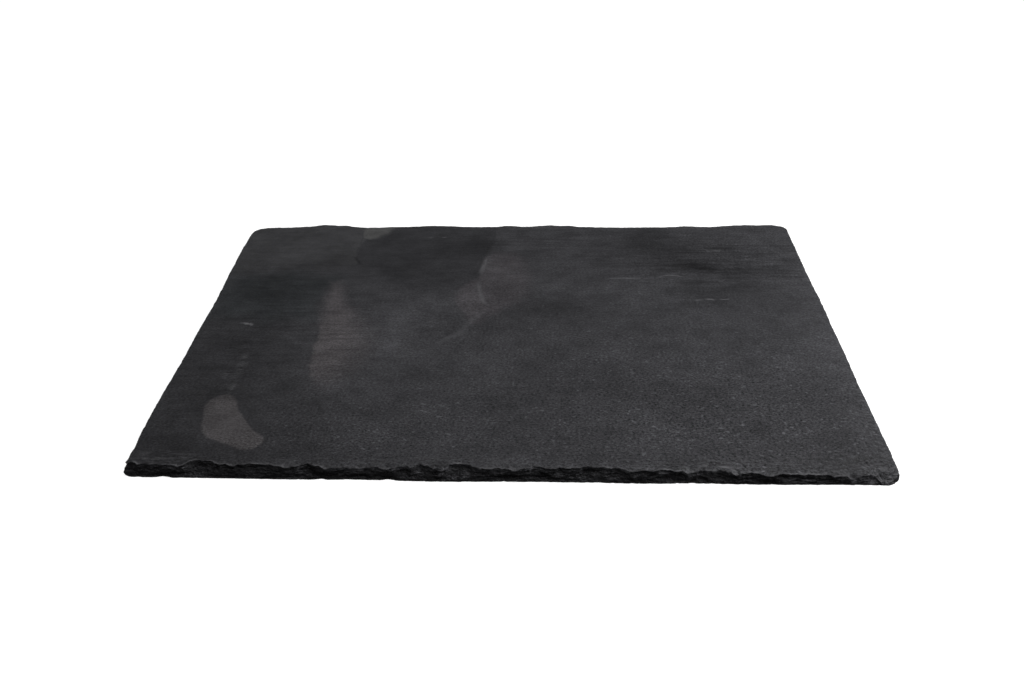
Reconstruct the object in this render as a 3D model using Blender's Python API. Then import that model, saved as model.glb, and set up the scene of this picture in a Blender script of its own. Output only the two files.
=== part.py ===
"""Slate slab: one piece of split slate, 300 x 200 x 7 mm, with hand-broken edges.

The slab lies on its flat underside. Its four sides are broken by hand, so they show the slate's
layers as thin ledges, with scallops where flakes came away. The upper face is a split face: flat,
with a few shallow steps where a layer ends, and with a flake broken off one corner.

Frame: +X along the long edge, the front edge faces -Y, +Z up. The origin is the middle of the
underside. The constants are in millimetres.
"""
import math
import random

import bmesh
import bpy
from mathutils import Vector, noise

MM = 0.001

# Driving dimensions.
LENGTH = 300.0
WIDTH = 200.0
THICKNESS = 7.0
POINT_SPACING = 2.6

# Corners, anticlockwise from the front left one: (radius, side along X, side along Y).
CORNERS = [(2.2, -1, -1), (2.4, 1, -1), (3.0, 1, 1), (8.0, -1, 1)]
CORNER_SPACING = 1.2

# Bows of the edges: (place along the edge, outward bulge).
FRONT_BOW = [(-150, 0.0), (-126, 0.1), (-90, 0.5), (-54, 0.1), (-28, 0.8), (12, 0.3), (60, 0.7),
             (70, 0.3), (104, 0.6), (122, 0.3), (150, 0.1)]
BACK_BOW = [(-150, -1.6), (-130, -0.7), (-119, 0.5), (-110, 2.6), (-101, 1.5), (-85, -1.1),
            (-68, 0.0), (-47, 1.4), (-36, 1.0), (-27, -0.1), (-15, 0.2), (-5, 1.3), (5, 0.3),
            (17, 1.9), (29, 1.4), (36, 0.0), (57, -0.7), (80, -0.4), (96, 0.6), (104, -0.2),
            (128, 2.0), (135, 1.9), (142, 2.2), (150, 0.0)]
LEFT_BOW = [(-100, 2.2), (-94, 1.3), (-88, 0.4), (-78, 0.6), (-58, 0.6), (-24, 0.0), (0, 0.1),
            (14, -0.2), (34, 0.0), (50, 0.5), (70, 0.8), (100, 0.3)]
RIGHT_BOW = [(-100, 1.4), (-90, 1.5), (-80, 1.5), (-70, 1.3), (-60, 0.8), (-45, 0.2), (-27, 0.5),
             (0, 0.5), (20, 0.6), (45, 0.1), (66, 0.3), (80, 0.2), (100, 0.4)]

# Scallops along the front rim: (place along X, half width, depth in from the outline), and one at
# the front end of the left rim. A curve of 1 would make each one a notch with straight sides.
FRONT_SCALLOPS = [(-150, 6, 2.2), (-137, 6, 1.0), (-121, 11, 3.2), (-99, 9, 1.8), (-77, 5, 1.9),
                  (-51, 4, 0.6), (-40, 5, 1.7), (-33, 5, 2.8), (-18, 8, 3.5), (-3, 4, 0.7),
                  (12, 5, 1.4), (25, 9, 1.3), (35, 9, 2.1), (63, 5, 1.3), (80, 9, 0.8),
                  (109, 5, 1.0), (118, 7, 1.0), (134, 4, 2.2)]
LEFT_SCALLOP = (-101, 12, 2.2)
SCALLOP_CURVE = 1.5

# Broken side: each layer of slate ends at its own depth. A layer is (bottom, top, set back,
# wander): the heights are shares of the side's own height, and its edge wanders about the set back.
LAYERS = [(0.00, 0.24, 0.0, 0.2), (0.29, 0.52, 0.1, 0.6), (0.57, 0.78, 0.2, 0.6),
          (0.83, 1.00, 0.0, 0.25)]
LAYER_WAVE = 11.0
LAYER_OFFSET = 33.0
FOOT_CHAMFER = 0.35
FOOT_SHARE = 0.12

# Small chips that breaking left along the other edges, in the rim and along the foot. Each runs
# out between two shares of the side's height, from no depth to full depth.
SEED = 17
CHIP_GAP = (5.0, 19.0)
CHIP_HALF_WIDTH = (2.5, 9.0)
RIM_CHIP_DEPTH = (0.05, 0.4)
FOOT_CHIP_DEPTH = (0.5, 1.9)
RIM_CHIP_SPAN = (0.3, 1.0)
FOOT_CHIP_SPAN = (0.8, 0.0)
CORNER_CHIP_SHARE = 0.8
CORNER_TURN = 0.01

# The rim is nicked a little all round, and worn down towards the front right corner, where the face
# falls away over WORN_REACH. The wear grows between the two places along each axis, and by
# CORNER_DROP within CORNER_REACH of the corner.
RIM_NICK = 0.22
RIM_NICK_WAVE = 6.0
WORN_ALONG_X = (52.0, 138.0)
WORN_ALONG_Y = (-40.0, -80.0)
WORN_DROP = 2.1
WORN_REACH = 12.0
WORN_CURVE = 1.3
CORNER_DROP = 1.8
CORNER_REACH = 9.0

# Rings of the upper face behind the rim, at distances in from it, and the inset of the flat core
# that they close in on.
RIM_RINGS = [1.2, 3.4, WORN_REACH]
CORE_INSET = 13.0

# Steps in the upper face, where a thin layer has split off. Each is cut by a floor that lies
# "depth" under the face at "deepest" and rises by "rise" (mm per mm along X and Y) to meet it.
LEDGES = {
    "ridge_ledge": {
        "outline": [(-13, 88), (-15, 70), (-19, 52), (-20, 35), (-16, 25), (-12.5, 16), (-17, 5),
                    (-25, -6), (-36, -16), (-46, -24), (-74, -10), (-90, 30), (-94, 88)],
        "deepest": (-16, 30), "depth": 0.32, "rise": (-0.0058, 0.0)},
    "grain_ledge": {
        "outline": [(66, 44), (78, 46), (90, 45), (104, 47), (122, 45), (132, 54), (128, 88),
                    (96, 90), (64, 84)],
        "deepest": (95, 45), "depth": 0.28, "rise": (0.0, 0.0085)},
    "corner_flake": {
        "outline": [(128, -108), (129.5, -99), (131.5, -95.5), (134.5, -93), (140, -91),
                    (147, -89), (158, -86.5), (160, -108)],
        "deepest": (140, -91), "depth": 0.5, "rise": (0.0, 0.10)},
}
CUTTER_HEIGHT = 6.0
CUTTER_SMOOTHNESS = 3

WELD_DISTANCE = 0.00001

SLATE_COLOUR = (0.035, 0.035, 0.038)
SLATE_ROUGHNESS = 0.6


def blend(start, end, value):
    """Smooth 0 to 1 ramp between two values."""
    share = min(max((value - start) / (end - start), 0.0), 1.0)
    return share * share * (3.0 - 2.0 * share)


def read_bow(bow, place):
    """Smoothly joined value of a list of (place, value) points."""
    if place <= bow[0][0]:
        return bow[0][1]
    for (start, low), (end, high) in zip(bow, bow[1:]):
        if place <= end:
            return low + (high - low) * blend(start, end, place)
    return bow[-1][1]


def arc_points(centre, radius, first_angle):
    """Quarter turn of a corner, as (position, outward direction) pairs."""
    steps = round(radius * math.pi / 2.0 / CORNER_SPACING)
    points = []
    for step in range(steps + 1):
        angle = first_angle + math.pi / 2.0 * step / steps
        outward = Vector((math.cos(angle), math.sin(angle)))
        points.append((centre + outward * radius, outward))
    return points


def side_points(start, end, outward):
    """Evenly spaced points between two corners, without the corners' own points."""
    count = round((end - start).length / POINT_SPACING)
    return [(start.lerp(end, step / count), outward) for step in range(1, count)]


def plain_outline():
    """Rounded rectangle, anticlockwise from above, as (position, outward direction) pairs."""
    arcs = []
    for number, (radius, side_x, side_y) in enumerate(CORNERS):
        centre = Vector((side_x * (LENGTH / 2.0 - radius), side_y * (WIDTH / 2.0 - radius)))
        arcs.append(arc_points(centre, radius, math.pi + number * math.pi / 2.0))
    outline = []
    for arc, following in zip(arcs, arcs[1:] + arcs[:1]):
        outline += arc
        outline += side_points(arc[-1][0], following[0][0], arc[-1][1])
    return outline


def bowed(position, outward):
    """Outline point moved by the bow of the edge or edges that it belongs to."""
    bow_x = read_bow(RIGHT_BOW if outward.x > 0 else LEFT_BOW, position.y)
    bow_y = read_bow(BACK_BOW if outward.y > 0 else FRONT_BOW, position.x)
    return position + Vector((outward.x * bow_x, outward.y * bow_y))


def random_chips(generator, length, depths):
    """Chips along an edge whose middle is at 0."""
    chips = []
    place = -length / 2.0 + generator.uniform(*CHIP_GAP)
    while place < length / 2.0:
        chips.append((place, generator.uniform(*CHIP_HALF_WIDTH), generator.uniform(*depths)))
        place += generator.uniform(*CHIP_GAP)
    return chips


def chip_lists():
    """Chips in the rim and along the foot of each edge."""
    generator = random.Random(SEED)
    lists = {"front": {"rim": FRONT_SCALLOPS, "foot": []}}
    for edge, length in (("right", WIDTH), ("back", LENGTH), ("left", WIDTH)):
        lists[edge] = {"rim": random_chips(generator, length, RIM_CHIP_DEPTH),
                       "foot": random_chips(generator, length, FOOT_CHIP_DEPTH)}
    lists["left"]["rim"].append(LEFT_SCALLOP)
    return lists


def deepest_chip(chips, place):
    """Depth of the deepest chip at a place, so that chips meet in sharp cusps."""
    depth = 0.0
    for centre, half_width, full_depth in chips:
        across = abs(place - centre) / half_width
        if across < 1.0:
            depth = max(depth, full_depth * (1.0 - across ** SCALLOP_CURVE))
    return depth


def edge_and_place(position, outward):
    """Name of the edge that a point belongs to, and the point's place along it."""
    if abs(outward.y) >= abs(outward.x):
        return ("back" if outward.y > 0 else "front"), position.x
    return ("right" if outward.x > 0 else "left"), position.y


def chip_depth(position, outward, share, chips):
    """Depth of the chips at a share of the side's height."""
    edge, place = edge_and_place(position, outward)
    from_rim = deepest_chip(chips[edge]["rim"], place) * blend(*RIM_CHIP_SPAN, share)
    from_foot = deepest_chip(chips[edge]["foot"], place) * blend(*FOOT_CHIP_SPAN, share)
    on_corner = min(abs(outward.x), abs(outward.y)) > CORNER_TURN
    return max(from_rim, from_foot) * (CORNER_CHIP_SHARE if on_corner else 1.0)


def layer_depth(position, layer):
    """Depth at which the edge of a numbered layer lies."""
    _, _, set_back, wander = LAYERS[layer]
    place = Vector((position.x, position.y, layer * LAYER_OFFSET)) / LAYER_WAVE
    return set_back + wander * noise.noise(place)


def wear(position):
    """How far wear lowers the rim: most along the front right edge, and more at its corner."""
    along_edge = blend(*WORN_ALONG_X, position.x) * blend(*WORN_ALONG_Y, position.y)
    from_corner = (position - Vector((LENGTH / 2.0, -WIDTH / 2.0))).length
    return WORN_DROP * along_edge + CORNER_DROP * blend(CORNER_REACH, 0.0, from_corner)


def rim_height(position):
    """Height of the top of the broken side."""
    nick = RIM_NICK * (0.5 + 0.5 * noise.noise(position.to_3d() / RIM_NICK_WAVE))
    return THICKNESS - nick - wear(position)


def side_ring(outline, share, layer, chips):
    """One ring of points round the broken side, at a share of its height."""
    ring = []
    chamfer = FOOT_CHAMFER * blend(FOOT_SHARE, 0.0, share)
    for position, outward in outline:
        depth = chip_depth(position, outward, share, chips)
        depth += layer_depth(position, layer) + chamfer
        place = bowed(position, outward) - outward * depth
        ring.append(Vector((place.x, place.y, rim_height(position) * share)))
    return ring


def core_point(position):
    """Nearest point of the flat core of the upper face, which rings close in on."""
    reach_x = LENGTH / 2.0 - CORE_INSET
    reach_y = WIDTH / 2.0 - CORE_INSET
    return Vector((min(max(position.x, -reach_x), reach_x), min(max(position.y, -reach_y), reach_y)))


def face_ring(outline, rim, inwards):
    """One ring of points on the upper face, at a distance in from the rim."""
    ring = []
    fall = max(0.0, 1.0 - inwards / WORN_REACH) ** WORN_CURVE
    for (position, _), edge_point in zip(outline, rim):
        place = edge_point.to_2d().lerp(core_point(position), inwards / CORE_INSET)
        height = THICKNESS - (THICKNESS - edge_point.z) * fall
        ring.append(Vector((place.x, place.y, height)))
    return ring


def all_rings():
    """Every ring of the slab, from the underside, up the side and in over the upper face."""
    outline = plain_outline()
    chips = chip_lists()
    rings = []
    for layer, (bottom, top, _, _) in enumerate(LAYERS):
        rings.append(side_ring(outline, bottom, layer, chips))
        rings.append(side_ring(outline, top, layer, chips))
    rim = rings[-1]
    for inwards in RIM_RINGS:
        rings.append(face_ring(outline, rim, inwards))
    return rings


def centring_shift(rings):
    """Move that brings the middle of the slab's box to the origin."""
    xs = [point.x for ring in rings for point in ring]
    ys = [point.y for ring in rings for point in ring]
    return Vector((-(min(xs) + max(xs)) / 2.0, -(min(ys) + max(ys)) / 2.0, 0.0))


def loft_slab(name, rings, collection):
    """Skin the rings from the underside up, and close the first and last ones."""
    mesh = bmesh.new()
    loops = [[mesh.verts.new(point * MM) for point in ring] for ring in rings]
    mesh.faces.new(reversed(loops[0]))
    mesh.faces.new(loops[-1])
    for lower, upper in zip(loops, loops[1:]):
        for index, corner in enumerate(lower):
            following = (index + 1) % len(lower)
            mesh.faces.new((corner, lower[following], upper[following], upper[index]))
    bmesh.ops.triangulate(mesh, faces=mesh.faces[:])
    data = bpy.data.meshes.new(name)
    mesh.to_mesh(data)
    mesh.free()
    slab = bpy.data.objects.new(name, data)
    collection.objects.link(slab)
    return slab


def ledge_outline(name, ledge):
    """Smooth closed curve of a ledge, extruded to a slab whose own origin is its middle."""
    curve = bpy.data.curves.new(name, "CURVE")
    curve.dimensions = "2D"
    curve.fill_mode = "BOTH"
    curve.extrude = CUTTER_HEIGHT / 2.0 * MM
    curve.resolution_u = CUTTER_SMOOTHNESS
    spline = curve.splines.new("BEZIER")
    spline.bezier_points.add(len(ledge["outline"]) - 1)
    spline.use_cyclic_u = True
    for point, place in zip(spline.bezier_points, ledge["outline"]):
        point.co = (Vector(place) - Vector(ledge["deepest"])).to_3d() * MM
        point.handle_left_type = "AUTO"
        point.handle_right_type = "AUTO"
    return bpy.data.objects.new(name, curve)


def ledge_cutter(name, ledge, shift, collection):
    """Closed cutter whose underside is the floor of a ledge."""
    guide = ledge_outline(name + "_outline", ledge)
    collection.objects.link(guide)
    rise_x, rise_y = ledge["rise"]
    guide.rotation_euler = (math.atan(rise_y), -math.atan(rise_x), 0.0)
    middle = THICKNESS - ledge["depth"] + CUTTER_HEIGHT / 2.0
    guide.location = (Vector((*ledge["deepest"], middle)) + shift) * MM
    bpy.context.view_layer.update()
    graph = bpy.context.evaluated_depsgraph_get()
    solid = bpy.data.meshes.new_from_object(guide.evaluated_get(graph))
    welded = bmesh.new()
    welded.from_mesh(solid)
    bmesh.ops.remove_doubles(welded, verts=welded.verts[:], dist=WELD_DISTANCE)
    bmesh.ops.recalc_face_normals(welded, faces=welded.faces[:])
    welded.to_mesh(solid)
    welded.free()
    cutter = bpy.data.objects.new(name, solid)
    cutter.matrix_world = guide.matrix_world
    cutter.hide_render = True
    cutter.display_type = "WIRE"
    collection.objects.link(cutter)
    bpy.data.objects.remove(guide)
    return cutter


def cut(slab, cutter):
    """Subtract a cutter from the slab."""
    modifier = slab.modifiers.new(cutter.name, "BOOLEAN")
    modifier.operation = "DIFFERENCE"
    modifier.solver = "EXACT"
    modifier.object = cutter


def slate_material():
    """Dark, slightly blue slate."""
    material = bpy.data.materials.new("slate")
    material.use_nodes = True
    surface = material.node_tree.nodes["Principled BSDF"]
    surface.inputs["Base Color"].default_value = (*SLATE_COLOUR, 1.0)
    surface.inputs["Roughness"].default_value = SLATE_ROUGHNESS
    surface.inputs["Metallic"].default_value = 0.0
    return material


def new_collection(name):
    """Collection of that name, linked to the scene."""
    collection = bpy.data.collections.new(name)
    bpy.context.scene.collection.children.link(collection)
    return collection


def main():
    """Model the slab."""
    for old in list(bpy.data.objects):
        bpy.data.objects.remove(old)
    parts = new_collection("slate_slab_object")
    cutters = new_collection("cutters")
    rings = all_rings()
    shift = centring_shift(rings)
    rings = [[point + shift for point in ring] for ring in rings]
    slab = loft_slab("slate_slab", rings, parts)
    slab.data.materials.append(slate_material())
    for name, ledge in LEDGES.items():
        cut(slab, ledge_cutter(name, ledge, shift, cutters))


main()
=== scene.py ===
"""Looks of the slate slab: a fine mesh of the broken stone, its materials and the studio.

The frame's solid gives its place and size. Lengths are in millimetres: +X along the long edge,
the front edge faces -Y, +Z up, the origin in the middle of the underside. A "place" is a
distance along one edge from its middle.
"""
import math
import random
from functools import cache, reduce

import bpy
import numpy as np
from mathutils import Matrix, Vector, noise
from mathutils.geometry import delaunay_2d_cdt


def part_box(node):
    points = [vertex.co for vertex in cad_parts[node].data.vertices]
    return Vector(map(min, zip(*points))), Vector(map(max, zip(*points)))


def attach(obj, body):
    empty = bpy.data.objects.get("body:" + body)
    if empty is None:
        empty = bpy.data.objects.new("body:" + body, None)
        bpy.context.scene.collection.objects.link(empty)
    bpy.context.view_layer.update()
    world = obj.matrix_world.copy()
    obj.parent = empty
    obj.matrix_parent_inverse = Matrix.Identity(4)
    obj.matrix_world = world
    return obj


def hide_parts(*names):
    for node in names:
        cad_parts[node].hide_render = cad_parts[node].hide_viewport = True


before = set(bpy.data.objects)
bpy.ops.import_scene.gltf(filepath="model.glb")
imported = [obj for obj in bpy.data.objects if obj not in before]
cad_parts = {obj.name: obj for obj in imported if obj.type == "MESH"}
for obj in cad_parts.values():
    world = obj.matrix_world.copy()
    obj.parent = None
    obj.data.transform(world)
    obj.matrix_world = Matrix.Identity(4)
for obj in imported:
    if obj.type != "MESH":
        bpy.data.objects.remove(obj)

MM = 0.001
NODE = "slate_slab"

# A noise over the slab is (seed, waves), each wave is (wavelength, or those along X and Y, height),
# and each further one is read a SEED_STEP on.
SEED_STEP = 3.7

# Driving dimensions. A corner is (radius, side along X, side along Y). The front ones are rounder
# than the solid's, to leave room for the broken side's hollows.
LENGTH = 300.0
WIDTH = 200.0
THICKNESS = 7.0
CORNERS = [(2.7, -1, -1), (4, 1, -1), (3, 1, 1), (8, -1, 1)]

# Bows of the edges: (place, outward bulge).
FRONT_BOW = [
    (-150, 0.2), (-126, 0.3), (-90, 0.6), (-54, 0.4), (-28, 0.9), (12, 0.5), (60, 0.8), (70, 0.4),
    (104, 0.7), (122, 0.4), (150, 0.2)
]
BACK_BOW = [
    (-150, -1.1), (-130, -0.4), (-119, 0.8), (-110, 2.8), (-101, 1.8), (-85, -0.8), (-68, 0.2),
    (-47, 1.6), (-36, 1.2), (-27, 0.2), (-15, 0.4), (-5, 1.6), (5, 0.6), (17, 2.1), (29, 1.6),
    (36, 0.3), (57, -0.5), (80, -0.1), (96, 0.9), (104, 0.1), (128, 2.3), (135, 2.2), (142, 2.6),
    (150, 0.3)
]
LEFT_BOW = [
    (-100, 2.4), (-95, 0.9), (-89, 0.2), (-78, 0.6), (-58, 0.6), (-24, 0), (0, 0.1), (14, -0.2),
    (34, 0), (50, 0.5), (70, 0.8), (100, 0.3)
]
RIGHT_BOW = [
    (-100, 1.8), (-94, 1.7), (-80, 1.6), (-70, 1.4), (-60, 0.9), (-45, 0.3), (-27, 0.5), (0, 0.5),
    (20, 0.8), (45, 0.2), (66, 0.3), (80, 0.4), (100, 0.4)
]

# Mesh fineness.
FRONT_SPACING = 0.45
POINT_SPACING = 0.7
CORNER_SPACING = 0.35
SIDE_ROWS = 22
RIM_RINGS = [0.3, 0.7, 1.2, 1.8, 2.5, 3.3, 4.3, 5.5, 7.0, 9.0]
CORE_INSET = 13.0
GRID_SPACING = 1.7
UNDER_SPACING = 4.0
GRID_JITTER = 0.2
RING_MARGIN = 0.6
LINE_MARGIN = 0.45
CURVE_SPACING = 1.0
FILL_INSIDE = 1
FILL_MERGE = 1e-6

# How far the rim lies in from the foot: (place, distance), joined by straight lines. Where it is
# negative, a chip lowers the rim instead.
FRONT_RIM = [
    (-150, 1.8), (-148.5, 1.9), (-147, 1.1), (-145, 0.7), (-141, 0.7), (-137.5, 1.1), (-134, 0.3),
    (-131, 0), (-129, -0.8), (-127, -0.2), (-125.5, 1.9), (-121, 3.9), (-118, 3), (-115, 2.3),
    (-112, 1.3), (-109, 0.4), (-107, 0.5), (-105, 1.1), (-98.5, 1.9), (-93, 1.3), (-90, 0.5),
    (-87, -0.8), (-82, 0.2), (-79, 1.2), (-77.5, 2.1), (-75, 0.9), (-73, 0.7), (-71, -0.7),
    (-69, -0.9), (-63, 0), (-59, 0), (-57, -0.9), (-53, -0.3), (-51, 0.5), (-47, -0.6), (-44, 0),
    (-41, 1.6), (-39, 1.6), (-37, 0.6), (-33, 3), (-31, 1.6), (-27, 0.6), (-24.5, 0.4), (-22, 3.2),
    (-16, 3.2), (-12, 1.3), (-8, 0), (-3, 0.7), (1, 0.3), (3.5, -0.6), (5.5, -0.5), (6.5, 0.2),
    (9, 0.3), (11, 1.5), (14, 0.9), (18, 0.4), (21, 1.1), (29, 1.3), (31, 2), (37, 2.2), (39, 1.4),
    (42, 1.8), (45, 1), (47, 0), (57, 0), (63.5, 1.4), (65, 0.4), (67, 0.3), (70.5, -1.7),
    (73, -0.8), (75, 0.7), (85, 0.7), (89, -1.2), (91, 0.2), (97, 0.2), (103, -0.7), (105, 0.3),
    (109, 1), (111, 0.5), (118, 1), (129, -0.1), (131, 0), (133.5, -2.4), (135.5, -0.4), (137, 0.9),
    (141.5, 0.9), (143.5, 0), (150, 0.6)
]
LEFT_RIM = [(-100, 1.9), (-97.5, 2.9), (-94, 3), (-92, 2), (-88, 0.8), (-82, 0)]
FRONT_RIM_RAGGED = (45, [(3, 0.8), (1.2, 0.5)])
# The broken face between rim and foot falls away within these shares of the height, which wander.
FRONT_SLOPE = (0.15, 0.80)
LEFT_SLOPE = (0.25, 0.95)
SLOPE_WANDER = (50, [(9, 0.25), (3, 0.15)])
CHIP_STEEPNESS = 0.9
CHIP_REACH = 2.5

# Scoops that flakes left in the broken sides, drawn at random: place, then half width, depth,
# middle height, half height and sharpness, which is 0.5 for a round bowl and 1 for a pyramid.
SEED = 17
SCOOP_GAP = (1.5, 6.0)
SCAR_DRAW = [(1.5, 6), (0.2, 0.9), (0.5, 6), (0.8, 3), (0.6, 1)]
FOOT_GAP = (6.0, 20.0)
FOOT_DRAW = [(2.5, 9), (0.5, 1.8), (0, 0), (2.5, 5.5), (0.5, 0.9)]

# Hollows between sharp ridges all over the broken sides: (wavelengths along the edge and up,
# depth). They are shallower at the foot, and at the rim away from the front.
HACKLE = [((6, 1.8), 0.75), ((2.2, 0.8), 0.5), ((1, 0.5), 0.35)]
HACKLE_SEED = 130.0
HACKLE_SEED_STEP = 5.3
HACKLE_FOOT = 0.35
HACKLE_RIM = 0.35
HACKLE_FOOT_TOP = 0.3
HACKLE_RIM_FOOT = 0.8

# Layers of the slate where they end in the broken sides: the height of each one's top.
LAYER_TOPS = [0.6, 1.2, 2.1, 2.6, 3.4, 4.3, 4.8, 5.5, 6.2, 9.0]
LAYER_TILT = (40, [(14, 0.35), (4, 0.14)])
LAYER_WANDER = (60, [(6, 0.3), (1.8, 0.13)])
LAYER_SEED_STEP = 11.3
STEPPED_SHARE = 0.65
# Away from the front the rim is nearly whole, and the stone stands out below it.
WHOLE_RIM = 0.7
WHOLE_FROM = 0.5
STAND_OUT = 0.8
STAND_OUT_BELOW = 0.45
QUIET_EDGE = 0.45
FOOT_CHAMFER = 0.35
FOOT_SHARE = 0.10

# The rim: nicks, thin sheets flaked off along it (drop, reach inwards, how ragged), and the wear
# towards the front right corner.
RIM_NICKS = (30, [(7, 0.22), (2.2, 0.12)])
SHEETS = [(0.1, 1.6, (5, [(9, 3.2), (2.2, 0.8)])), (0.12, 0.3, (9, [(5, 1.6), (1.3, 0.5)]))]
SHEET_EDGE = 0.3
WORN_ALONG_X = (52.0, 138.0)
WORN_ALONG_Y = (-40.0, -80.0)
WORN_DROP = 2.1
WORN_REACH = 12.0
WORN_CURVE = 1.3
# Chipped corners: (x, y, drop, width, reach inwards).
CHIPPED_CORNERS = [(146.5, -100, 3.6, 6, 4), (-151.5, -98.5, 1.3, 5, 2.5)]

# Steps in the upper face where a layer ends: (line, drop, fade, taper). The face drops on the left
# along the line, or rises where the drop is negative. The step dies out over the fade on that side,
# and over the taper at its ends.
STEPS = [
    ([(-46, -20), (-38, -15.5), (-30, -10), (-23, -4), (-18, 2), (-14, 8), (-11, 12.5), (-12, 17),
      (-15, 23), (-17.5, 30), (-18.5, 38), (-18.8, 46), (-18, 56), (-16.5, 66), (-14, 76),
      (-13, 84), (-12.5, 92)], 0.17, 55, 30),
    ([(62, 43.5), (72, 42.5), (76, 45.5), (83, 46.2), (89, 45), (100, 46.5), (112, 45.5),
      (126, 46)], 0.22, 35, 14),
    ([(88, 21.5), (94, 22.8), (100, 22.6), (107, 23.6)], 0.12, 9, 8),
    ([(-77, 50), (-79, 55), (-82, 60), (-85, 65), (-86.5, 72), (-86, 84), (-86, 100)],
     -0.1, 30, 10),
    ([(158, -86.5), (147, -89), (140, -91), (134.5, -92.8), (131.5, -95.3), (129.5, -99),
      (128, -108)], 0.4, 60, 1),
]
STEP_WIDTH = 0.35
UNDULATION = (20, [((70, 45), 0.1), ((22, 14), 0.05), ((45, 3.5), 0.03), ((6, 5), 0.015)])
UNDER_RELIEF = (70, [((60, 50), 0.1), ((14, 10), 0.06)])
TOP_SLOT, SIDE_SLOT, UNDER_SLOT = 0, 1, 2

# Patches of another colour on the upper face, a later one over an earlier one: softness of the
# edge, how ragged it is, the wavelength of that, gain, tint and closed outline. A softness may
# change along X: (start, end, softness there, softness there).
PATCHES = {
    "dark_patch": ((-45, -20, 10, 1), 5, 8, 0.74, (1, 1, 1.09), [
        (-11.5, 106), (-12, 84), (-15.3, 71), (-16.8, 63), (-18.3, 52), (-20.5, 38), (-40, 31),
        (-60, 34), (-76, 46), (-86, 60), (-87, 75), (-87, 106)]),
    "back_left": ((-100, -88, 9, 1), 2.5, 5, 1.2, (1, 1, 1.06), [
        (-156, 106), (-156, 52), (-134, 50), (-118, 56), (-104, 54), (-94, 56), (-84.5, 58),
        (-86.4, 66), (-86.2, 76), (-86.4, 106)]),
    "blue_patch": (8, 14, 14, 0.8, (0.95, 1.01, 1.09), [
        (-146, 44), (-126, 48), (-108, 46), (-92, 44), (-90, 34), (-97, 16), (-95, 4), (-110, 2),
        (-130, 4), (-147, 8)]),
    "pink_patch": ((-22, 0, 1.6, 5), 5, 8, 1.18, (1.015, 0.955, 1.035), [
        (-17, 64), (-19, 45), (-27, 33), (-29, 22), (-24, 10), (-19, 0), (-12, 6), (-5, 14),
        (2, 20), (7, 34), (6, 52), (2, 66), (-10, 69)]),
    "tall_patch_tip": (4.5, 6, 5, 1.84, (1.01, 0.935, 0.99), [
        (-93.6, 38), (-90, 38), (-86.5, 27), (-82, 16), (-79, 6), (-84, -4), (-91, -2), (-92.6, 12),
        (-93.8, 25)]),
    "tall_patch": ((-91, -80, 1.2, 12), 6, 6, 1.74, (1.01, 0.94, 0.985), [
        (-91.5, 6), (-86, 10), (-79, 5), (-74, -2), (-71, -10), (-70, -20), (-72, -31), (-77, -40),
        (-84, -44), (-87.5, -42), (-90.4, -34), (-91.4, -20), (-91.3, -6)]),
    "teardrop": (0.8, 2, 3, 2.08, (1, 0.94, 0.975), [
        (-121.5, -54.8), (-118, -57), (-116, -60.5), (-114.8, -64.5), (-112, -68.5),
        (-107.8, -74.5), (-104.2, -78.6), (-101.2, -80.8), (-98.4, -83.8), (-98.6, -86.6),
        (-101.5, -90), (-105.5, -90.6), (-110, -88.8), (-114.5, -86.8), (-118.5, -84.8),
        (-122.8, -82.4), (-126.2, -78), (-127.2, -71.5), (-128.8, -65), (-128.6, -60),
        (-125.5, -56.6)]),
    "pale_patch": ((-86, -74, 0.7, 2.5), 2, 3, 1.82, (1, 1, 1), [
        (-86.4, 106), (-86.4, 92), (-85, 86.2), (-82, 84.8), (-78.5, 86.2), (-75.5, 89.5),
        (-72.5, 91.5), (-71, 96), (-71, 106)]),
}

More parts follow.
